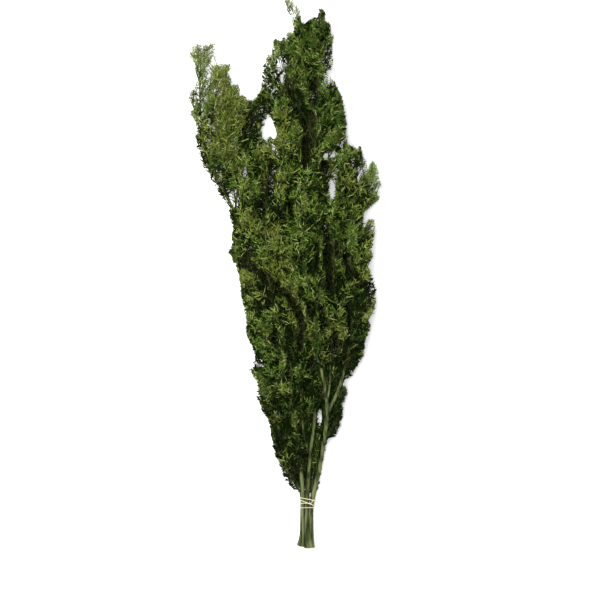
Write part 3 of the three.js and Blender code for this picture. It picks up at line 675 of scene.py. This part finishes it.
class Template:
    """A fan along +Y, in elements that hang on earlier ones: a rachis, its axes and their branchlets."""

    def __init__(self, rng, axes, branchlets, widths, is_fine):
        self.is_fine = is_fine
        self.shapes, self.parents = [], []
        bend = rng.uniform(-RACHIS_BEND, RACHIS_BEND, 2)
        self.rachis = lambda s: SPRAY_LENGTH * np.array((bend[0] * s * s, s, bend[1] * s * s))
        if is_fine:
            steps = np.linspace(0, 1, RACHIS_STEPS + 1)
            self.add(tube([self.rachis(s) for s in steps], lerp(RACHIS_RADII, steps), TWIG_SIDES), 0)
        else:
            self.add(strand(np.array([self.rachis(s) for s in STRAND_PLACES.ravel()]), RACHIS_RADII, 0), 0)
        for i in range(axes):
            self.grow_axis(rng, (i + AXIS_START) / axes, 1 if i % 2 else -1, branchlets, widths)
        vertices, faces = zip(*self.shapes)
        starts = np.cumsum([0, *map(len, vertices)])
        self.vertices = np.vstack(vertices)
        self.faces = np.vstack([part + start for part, start in zip(faces, starts)])
        self.of_face = np.repeat(np.arange(len(faces)), [len(part) for part in faces])
        self.middles = np.array([part.mean(0) for part in vertices])
        self.ends = (self.middles + [part[-1] for part in vertices]) / 2
        self.reach = self.middles[:, 1] / SPRAY_LENGTH

    def add(self, shape, parent):
        self.shapes.append(shape)
        self.parents.append(parent)
        return len(self.shapes) - 1

    def grow_axis(self, rng, s, hand, branchlets, widths):
        root = self.rachis(s)
        angle = hand * lerp(AXIS_ANGLES, s) * rng.uniform(*GROWTH)
        way = unit(np.array((math.sin(angle), math.cos(angle), rng.normal(0, AXIS_LIFT))))
        swell = lerp(AXIS_SWELL, math.sin(math.pi * min(1, AXIS_SWELL_START + s)))
        length = AXIS_LENGTH * swell * rng.uniform(*AXIS_LENGTHS)
        bend = rng.normal(0, AXIS_BENDS) + AXIS_TURN
        curl = rng.normal(0, STRAND_CURL, 3)
        curve = lambda u: root + length * (u * way + u * u * bend / 2 + np.sin(2 * math.pi * u) * curl)
        twist = rng.normal(0, STRAND_TWIST)
        axis = self.add(strand(curve(STRAND_PLACES), np.multiply(widths, AXIS_WIDTH), twist), 0)
        for j in range(branchlets):
            u = (j + BRANCHLET_PLACES[0]) / (branchlets + BRANCHLET_PLACES[1])
            spread = rng.uniform(*BRANCHLET_ANGLES) * (1 if j % 2 else -1)
            turned = np.array((
                way[0] * math.cos(spread) + way[1] * math.sin(spread),
                way[1] * math.cos(spread) - way[0] * math.sin(spread),
                rng.normal(0, BRANCHLET_LIFT),
            ))
            reach = BRANCHLET_LENGTH * (1 - BRANCHLET_TAPER * u) * rng.uniform(*GROWTH)
            arc = rng.normal(0, BRANCHLET_BEND, 3) + BRANCHLET_TURN
            run = STRAND_PLACES * unit(turned) + STRAND_PLACES**2 * arc
            run = run + np.sin(2 * math.pi * STRAND_PLACES) * rng.normal(0, STRAND_CURL, 3)
            self.add(strand(curve(u) + reach * run, widths, rng.normal(0, STRAND_TWIST)), axis)


template_random = np.random.default_rng(SEED)
templates = []
for how_many, *shape in (FINE_SPRAYS, COARSE_SPRAYS):
    templates += [Template(template_random, *shape) for _ in range(how_many)]


def sink(path):
    """The path, lowered where it would pass over a fold."""
    sunk = path.copy()
    ceiling = looked_up(ceiling_map, path)
    is_under = ceiling > SINK_DEPTH
    sunk[is_under, 2] = np.minimum(path[:, 2], ceiling - SINK_DEPTH)[is_under]
    return sunk


def grow_branches(mass, rng):
    """Paths of a mass's side branches, each cut where it would leave the mass's space."""
    density = mass.fullness * BRANCHES_PER_AREA
    count = max(FEWEST_BRANCHES, round(mass.length * mass.radius * density))
    order = np.arange(count)
    place = lerp(BRANCH_PLACES, (order * SPREAD_STEPS[0]) % 1)
    turn = 2 * math.pi * order * SPREAD_STEPS[1]
    turn -= SIDEWAYS * np.sin(2 * turn)
    root, tangent = mass.curve(place), tangents(mass.curve, place)
    side, up = across_of(tangent)
    outward = np.cos(turn)[:, None] * side + np.sin(turn)[:, None] * up
    angle = lerp(BRANCH_ANGLES, place) * (1 + ANGLE_SPREAD * rng.uniform(-1, 1, count))
    along = np.cos(angle)[:, None] * tangent + np.sin(angle)[:, None] * outward
    length = BRANCH_REACH * mass.radius * rng.uniform(*BRANCH_LENGTHS, count)
    share = np.linspace(0, 1, BRANCH_STEPS + 1)[None, :, None]
    sway = rng.normal(0, BRANCH_SWAY, (count, 1, 3)) * np.sin(math.pi * share)
    path = along[:, None] * share + (tangent - along)[:, None] * BRANCH_BEND * share**2 / 2 + sway
    path = root[:, None] + length[:, None, None] * path
    points = path.reshape(-1, 3)
    own = (in_crown(points) & is_own(mass, points)).reshape(count, -1)
    steps = np.logical_and.accumulate(own[:, 1:], axis=1).sum(1)
    return [sink(points[: n + 1]) for points, n in zip(path, steps) if n >= 1]


def grow_sprays(stem, paths, light, rng):
    """Places for sprays all along the branches: foot, direction, plane, size and the part of each painted
    in shade.
    """
    feet, ways, depths = [], [], []
    for path in paths:
        run = run_along(step_lengths(path))
        tangent = unit(np.gradient(path, axis=0))
        for n, at in enumerate(np.arange(run[-1], SPRAY_START, -SPRAY_STEP)):
            way = unit(np.array([np.interp(at, run, tangent[:, k]) for k in range(3)]))
            if n:
                aside = unit(np.cross(way, rng.normal(0, 1, 3)))
                way = way * math.cos(SPRAY_ANGLE) + aside * math.sin(SPRAY_ANGLE)
            feet.append([np.interp(at, run, path[:, k]) for k in range(3)])
            ways.append(way + rng.normal(0, SPRAY_SPREAD, 3))
            depths.append(1 - at / run[-1])
    feet, ways = np.array(feet), unit(np.array(ways))
    shaded = light * lerp(SHADED, np.array(depths)) + rng.normal(0, SHADED_SPREAD, len(feet))
    nearest = np.linalg.norm(feet[:, None] - stem, axis=2).argmin(1)
    outward = unit(feet - stem[nearest] + rng.normal(0, 1, feet.shape))
    across = unit(np.cross(ways, outward + rng.normal(0, SPRAY_TILT, feet.shape)))
    sizes = np.zeros(len(feet))
    for size in SPRAY_SIZES:
        left = np.flatnonzero(sizes == 0)
        size = size * rng.uniform(*SPRAY_SIZE_SPREAD, len(left))
        fits = in_crown(feet[left] + (size * SPRAY_LENGTH)[:, None] * ways[left])
        sizes[left[fits]] = size[fits]
    kept = sizes > 0
    return feet[kept], ways[kept], across[kept], sizes[kept], shaded[kept]


def new_object(name, data):
    thing = bpy.data.objects.new(name, data)
    bpy.context.scene.collection.objects.link(thing)
    return thing


class Gather:
    """Collects vertices and triangles, in millimetres, and makes one piece of them on the one body."""

    def __init__(self):
        self.vertices, self.faces = [], []
        self.points = self.triangles = 0

    def add(self, vertices, faces):
        self.vertices.append(vertices)
        self.faces.append(faces + self.points)
        self.points += len(vertices)
        self.triangles += len(faces)

    def make(self, name, materials, slot, nodes, material_of_face=0):
        vertices = np.vstack(self.vertices)
        vertices[:, 2] = np.maximum(vertices[:, 2], 0)  # on the ground the bunch lies flat
        used, faces = np.unique(np.vstack(self.faces), return_inverse=True)
        faces = faces.reshape(-1, 3).tolist()
        mesh = bpy.data.meshes.new(name)
        mesh.from_pydata((vertices[used] * MM).tolist(), [], faces, shade_flat=False)
        mesh.polygons.foreach_set("material_index", np.full(len(faces), material_of_face, np.int32))
        mesh.validate()
        for material in materials:
            mesh.materials.append(material)
        piece = new_object(name, mesh)
        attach(piece, "root")
        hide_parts(*nodes)


def new_material(name, roughness, specular):
    material = bpy.data.materials.new(name)
    material.use_nodes = True
    shader = material.node_tree.nodes["Principled BSDF"]
    shader.inputs["Roughness"].default_value = roughness
    shader.inputs["Specular IOR Level"].default_value = specular
    return material, shader


def add_noise(tree, scale, stretch, detail):
    """A noise pattern fixed to the object, with its size in metres stretched along each axis."""
    nodes, links = tree.nodes, tree.links
    place = nodes.new("ShaderNodeTexCoord")
    mapping = nodes.new("ShaderNodeMapping")
    mapping.inputs["Scale"].default_value = stretch
    noise = nodes.new("ShaderNodeTexNoise")
    noise.inputs["Scale"].default_value = scale
    noise.inputs["Detail"].default_value = detail
    links.new(place.outputs["Object"], mapping.inputs["Vector"])
    links.new(mapping.outputs["Vector"], noise.inputs["Vector"])
    return noise.outputs["Fac"]


def add_ramp(tree, source, target, stops):
    ramp = tree.nodes.new("ShaderNodeValToRGB")
    elements = ramp.color_ramp.elements
    for i, (position, colour) in enumerate(stops):
        element = elements[i] if i < 2 else elements.new(position)
        element.position = position
        element.color = (*colour, 1)
    tree.links.new(source, ramp.inputs["Fac"])
    tree.links.new(ramp.outputs["Color"], target)


def add_bump(tree, source, shader, strength, distance):
    bump = tree.nodes.new("ShaderNodeBump")
    bump.inputs["Strength"].default_value = strength
    bump.inputs["Distance"].default_value = distance
    tree.links.new(source, bump.inputs["Height"])
    tree.links.new(bump.outputs["Normal"], shader.inputs["Normal"])


def grained_material(name, roughness, specular, scale, detail, stops, bump=None):
    """A material whose colours, and bump if it has one, follow one fine noise."""
    material, shader = new_material(name, roughness, specular)
    tree = material.node_tree
    grain = add_noise(tree, scale, (1, 1, 1), detail)
    add_ramp(tree, grain, shader.inputs["Base Color"], stops)
    if bump:
        add_bump(tree, grain, shader, *bump)
    return material


def leaf_material(tone):
    stops = [(place, [share * value for value in TONES[tone]]) for place, share in LEAF_SHADES]
    return grained_material("leaves_" + tone, *LEAF_SURFACE, stops, LEAF_BUMP)


def bark_material():
    material, shader = new_material("bark", *BARK_SURFACE)
    tree = material.node_tree
    streaks, patches = (add_noise(tree, *row) for row in (BARK_STREAKS, BARK_PATCHES))
    blend = tree.nodes.new("ShaderNodeMix")
    blend.data_type = "RGBA"
    sockets = {socket.identifier: socket for socket in (*blend.inputs, *blend.outputs)}
    add_ramp(tree, streaks, sockets["A_Color"], BARK_GREEN)
    add_ramp(tree, streaks, sockets["B_Color"], BARK_BROWN)
    add_ramp(tree, patches, sockets["Factor_Float"], BARK_BROWN_SHARE)
    tree.links.new(sockets["Result_Color"], shader.inputs["Base Color"])
    add_bump(tree, streaks, shader, *BARK_BUMP)
    return material


def make_closed_tube(name, path, rings, materials, slot, node):
    """A tube in place of a node, closed at both ends, with the last of the materials on its foot."""
    count, sides, _ = rings.shape
    foot_middle, end_middle = count * sides, count * sides + 1
    foot = fan_faces(0, sides, foot_middle)[:, (1, 0, 2)]  # turned over, to face out
    body = np.vstack([wall_faces(count, sides), fan_faces(count - 1, sides, end_middle)])
    gather = Gather()
    gather.add(np.vstack([rings.reshape(-1, 3), path[:1], path[-1:]]), np.vstack([body, foot]))
    material_of_face = np.repeat([0, len(materials) - 1], [len(body), len(foot)])
    gather.make(name, materials, slot, [node], material_of_face)


def make_limb(limb, materials):
    """A limb with ridged bark, scars of side twigs and, on a stem, a flat cut at its foot."""
    rng = np.random.default_rng([SEED, *limb.name.encode()])
    steps = round(limb.length / BARK_STEP)
    places = np.linspace(0, 1, steps + 1)
    path = limb.curve(places)
    run = limb.length * places[:, None]
    turn = ring_turns(BARK_SIDES)
    relief = np.zeros((steps + 1, BARK_SIDES))
    for count, height, drift in BARK_RIDGES:
        phase = rng.uniform(0, 2 * math.pi, 2)
        sway = RIDGE_SWAY * np.sin(run * drift + phase[1])
        relief += height * np.sin(count * turn + sway + phase[0])
    radius = lerp(limb.radii, places)[:, None] * (1 + relief)
    for n, at in enumerate(np.arange(SCAR_STEP, limb.length, SCAR_STEP)):
        at += rng.uniform(-SCAR_SPREAD, SCAR_SPREAD) * SCAR_STEP
        scar_turn = n * SCAR_TURN + rng.uniform(-SCAR_TURN_SPREAD, SCAR_TURN_SPREAD)
        away = (turn - scar_turn + math.pi) % (2 * math.pi) - math.pi
        bump = np.exp(-((run - at) / SCAR_LENGTH) ** 2 - (away / SCAR_WIDTH) ** 2)
        radius = radius + SCAR_HEIGHT * rng.uniform(*SCAR_HEIGHTS) * bump
    if limb.has_cut:
        radius = radius * (1 + CUT_FLARE * np.exp(-run / CUT_FLARE_LENGTH))
    outward = spokes(turn, *across_of(tangents(limb.curve, places)))
    rings = path[:, None] + radius[..., None] * outward
    if limb.has_cut:
        rings[0, :, 1] += CUT_SLANT * limb.radii[0] * (1 + np.sin(turn[0])) / 2
    make_closed_tube("bark_" + limb.name, path, rings, materials, "bark", limb.name)


def bundle_point(y, turn, distance):
    """The outline of the stems where they are tied, pushed out by a distance."""
    normal = np.array((math.cos(turn), 0, math.sin(turn)))
    points = []
    for limb in limbs.values():
        if limb.has_cut:
            x, z, radius, _ = limb.section(y)
            points.append(np.array((x, y, z)) + normal * (radius + distance))
    return max(points, key=lambda point: point @ normal)


def make_tie(material):
    """A cord twisted from two strands, wound round the stems from left to right over their front."""
    last_turn = (len(TIE_PASSES) - 1) / 2 + TIE_TAIL
    steps = round((last_turn + TIE_TAIL) * TIE_STEPS_PER_TURN)
    turned = np.linspace(-TIE_TAIL, last_turn, steps + 1)
    cross = np.clip((turned - TIE_CROSSOVER[0]) / (TIE_CROSSOVER[1] - TIE_CROSSOVER[0]), 0, 1)
    layer = cross * cross * (3 - 2 * cross)
    distance = TIE_RADIUS + TIE_SLACK + layer * (2 * TIE_RADIUS + TIE_CLEARANCE)
    turns = math.pi - 2 * math.pi * turned
    path = np.array([bundle_point(TIE_PASSES[0], *row) for row in zip(turns, distance)])
    for _ in range(TIE_FITS):
        run = run_along(np.abs(np.diff(path[:, 0])))
        run_at_sides = np.interp(np.arange(len(TIE_PASSES)) / 2, turned, run)
        rise = np.interp(run, run_at_sides, TIE_PASSES)
        path = np.array([bundle_point(*row) for row in zip(rise, turns, distance)])
    tangent = unit(np.gradient(path, axis=0))
    inward = unit(np.cross((0.0, 1.0, 0.0), tangent))
    turn = ring_turns(TIE_SIDES)
    twist = TIE_TWIST * run_along(step_lengths(path))[:, None]
    radius = TIE_RADIUS * (1 + TIE_GROOVE * (np.abs(np.cos(turn - twist)) - TIE_MEAN))
    rings = path[:, None] + radius[..., None] * spokes(turn, inward, np.cross(tangent, inward))
    make_closed_tube("tie_cord", path, rings, [material], "tie", "tie")


def dress_spray(mass, template, feet, ways, across, sizes, rng):
    """The template's vertices at each place, which of its elements are kept, and which lie in a fold and
    are painted in shade.
    """
    basis = np.stack([across, ways, np.cross(across, ways)], 1) * sizes[:, None, None]
    shapes = (template.vertices, template.middles, template.ends)
    vertices, middles, ends = ((points @ basis + feet[:, None]).reshape(-1, 3) for points in shapes)
    vertices[:, 2] = np.maximum(vertices[:, 2], LOWEST)
    kept = is_free(middles) & is_free(ends)
    in_fold = looked_up(ceiling_map, middles) < FOLD_SHADE
    if mass:
        share, margin = (rng.uniform(*span, len(middles)) for span in (LEAF_SHARES, LEAF_MARGINS))
        own = is_own(mass, middles, np.where(in_fold, FOLD_REACH, share), np.where(in_fold, 0, margin))
        kept &= own & (in_fold | (rng.random(len(middles)) < mass.fullness))
    kept = kept.reshape(len(feet), -1)
    kept &= kept[:, template.parents]
    kept &= kept[:, template.parents]  # once more, as branchlets hang on an axis that hangs on the rachis
    # this share of the leaves in a fold is painted in shade
    in_fold &= rng.random(len(middles)) < FOLD_SHADE_SHARE
    return vertices, kept, in_fold.reshape(kept.shape)


foliage = {kind: [Gather()] for kind in ("twigs", *TONES)}


def add_faces(kind, vertices, template, chosen):
    """Adds the triangles of a template's chosen elements, over all its sprays, to one kind of foliage."""
    spray, face = np.nonzero(chosen[:, template.of_face])
    if len(face) == 0:
        return
    if foliage[kind][-1].triangles + len(face) > MOST_TRIANGLES:
        foliage[kind].append(Gather())
    foliage[kind][-1].add(vertices, template.faces[face] + (spray * len(template.vertices))[:, None])


def grow_fringe(limb, first, last, rng):
    """Short twigs on one limb, each turned towards the limb's end."""
    paths = []
    for y in np.arange(first, last, FRINGE_STEP):
        place = place_at_y(limb.curve, y + rng.uniform(-0.5, 0.5) * FRINGE_STEP)
        root, tangent = limb.curve(place)[0], tangents(limb.curve, place)[0]
        aside = unit(np.cross(tangent, rng.normal(0, 1, 3)))
        way = tangent * math.cos(FRINGE_ANGLE) + aside * math.sin(FRINGE_ANGLE)
        reach = rng.uniform(*FRINGE_REACH)
        turn = (tangent - way) / FRINGE_STIFFNESS
        path = np.array([root + reach * (s * way + s * s * turn) for s in FRINGE_PLACES])
        inside = np.logical_and.accumulate(in_crown(path[1:])).sum()
        if inside >= 1:
            paths.append(sink(path[: inside + 1]))
    return paths


def add_foliage(mass, tone, paths, stem, rng):
    """Twigs along the paths, and sprays on them dealt out by tone, with their inner strands painted in
    shade.
    """
    for path in paths:
        foliage["twigs"][-1].add(*tube(path, np.linspace(*BRANCH_RADII, len(path)), TWIG_SIDES))
    feet, ways, across, sizes, shaded = grow_sprays(stem, paths, mass.light if mass else 1, rng)
    is_coarse = shaded > COARSE_FROM
    # coarse sprays are wholly painted in shade
    shaded[is_coarse] = np.inf
    kinds = rng.integers(0, FINE_SPRAYS[0], len(feet))
    kinds[is_coarse] = FINE_SPRAYS[0] + kinds[is_coarse] % COARSE_SPRAYS[0]
    mix = TONE_MIX[tone]
    tones = rng.choice(list(mix), len(feet), p=list(mix.values()))
    for kind, template in enumerate(templates):
        is_wood = np.arange(len(template.parents)) == 0
        for name in mix:
            chosen = (kinds == kind) & (tones == name)
            if not chosen.any():
                continue
            spots = (feet[chosen], ways[chosen], across[chosen], sizes[chosen])
            vertices, kept, in_fold = dress_spray(mass, template, *spots, rng)
            # painted shade: strands in a fold and the inner part of each spray take the near-black shade
            # tone
            in_painted_shade = in_fold | (template.reach < shaded[chosen][:, None])
            is_shown = in_fold | (rng.random(kept.shape) < (SHADED_STRANDS if template.is_fine else 1))
            # pale tone, partly a painted highlight, only on strands outside the painted shade
            is_pale = rng.random(kept.shape) < PALE_SHARES[name]
            is_lit = kept & ~is_wood & ~in_painted_shade
            add_faces("twigs", vertices, template, kept & is_wood)
            add_faces("shade", vertices, template, kept & ~is_wood & in_painted_shade & is_shown)
            add_faces("pale", vertices, template, is_lit & is_pale)
            add_faces(name, vertices, template, is_lit & ~is_pale)


def grow_foliage():
    for mass in masses:
        rng = np.random.default_rng([SEED, mass.index])
        stem = mass.curve(np.linspace(0, 1, STEM_STEPS + 1))
        inside = max(2, np.logical_and.accumulate(in_crown(stem)).sum())
        stem = sink(stem[:inside])
        foliage["twigs"][-1].add(*tube(stem, np.linspace(*STEM_RADII, inside), STEM_SIDES))
        add_foliage(mass, mass.tone, [*grow_branches(mass, rng), stem], stem, rng)
    for number, (name, first, last) in enumerate(FRINGES + LIT_FRINGES):
        rng = np.random.default_rng([SEED, len(masses) + number])
        tone = FRINGE_TONE if number < len(FRINGES) else LIT_FRINGE_TONE
        add_foliage(None, tone, grow_fringe(limbs[name], first, last, rng), limbs[name].path, rng)


def make_foliage():
    grow_foliage()
    for kind, gathers in foliage.items():
        is_wood = kind == "twigs"
        material = grained_material(kind, *SURFACES[kind]) if is_wood else leaf_material(kind)
        name = kind if is_wood else "leaves_" + kind
        slot = TONE_SLOTS.get(kind, "foliage_" + kind)
        dressed = [m.name for m in masses if kind in (m.tone, "twigs", "shade", "pale")]
        for n, gather in enumerate(gathers):
            gather.make(f"{name}_{n + 1}", [material], slot, dressed)


def make_floor():
    half = FLOOR_SIZE / 2
    mesh = bpy.data.meshes.new("floor")
    corners = [(-half, -half, 0), (half, -half, 0), (half, half, 0), (-half, half, 0)]
    mesh.from_pydata(corners, [], [(0, 1, 2, 3)])
    material, shader = new_material("floor", *FLOOR_SURFACE)
    shader.inputs["Base Color"].default_value = FLOOR_COLOUR
    shader.inputs["Emission Color"].default_value = WHITE
    shader.inputs["Emission Strength"].default_value = FLOOR_GLOW
    mesh.materials.append(material)
    new_object("floor", mesh)


def light_scene():
    """A pale room, and one soft lamp that is turned towards the middle of the bunch."""
    world = bpy.data.worlds.new("studio")
    world.use_nodes = True
    background = world.node_tree.nodes["Background"]
    background.inputs["Color"].default_value = WHITE
    background.inputs["Strength"].default_value = ROOM_GLOW
    bpy.context.scene.world = world
    bpy.context.scene.view_settings.view_transform = "Standard"
    light = bpy.data.lights.new("key", "AREA")
    light.size = KEY_SIZE
    light.energy = KEY_POWER
    lamp = new_object("key", light)
    lamp.location = KEY_PLACE
    x, y, z = KEY_PLACE
    lamp.rotation_euler = (math.atan2(math.hypot(x, y), z), 0, math.atan2(x, -y))


def add_camera():
    camera = new_object("camera", bpy.data.cameras.new("camera"))
    camera.data.lens = CAMERA_LENS
    camera.location = (CAMERA_AIM[0], CAMERA_AIM[1], CAMERA_AIM[2] + CAMERA_HEIGHT)
    bpy.context.scene.camera = camera


add_camera()
light_scene()
make_floor()
limb_materials = [bark_material(), grained_material("cut_wood", *SURFACES["cut_wood"])]
for each in limbs.values():
    make_limb(each, limb_materials)
make_tie(grained_material("tie", *SURFACES["tie"]))
make_foliage()
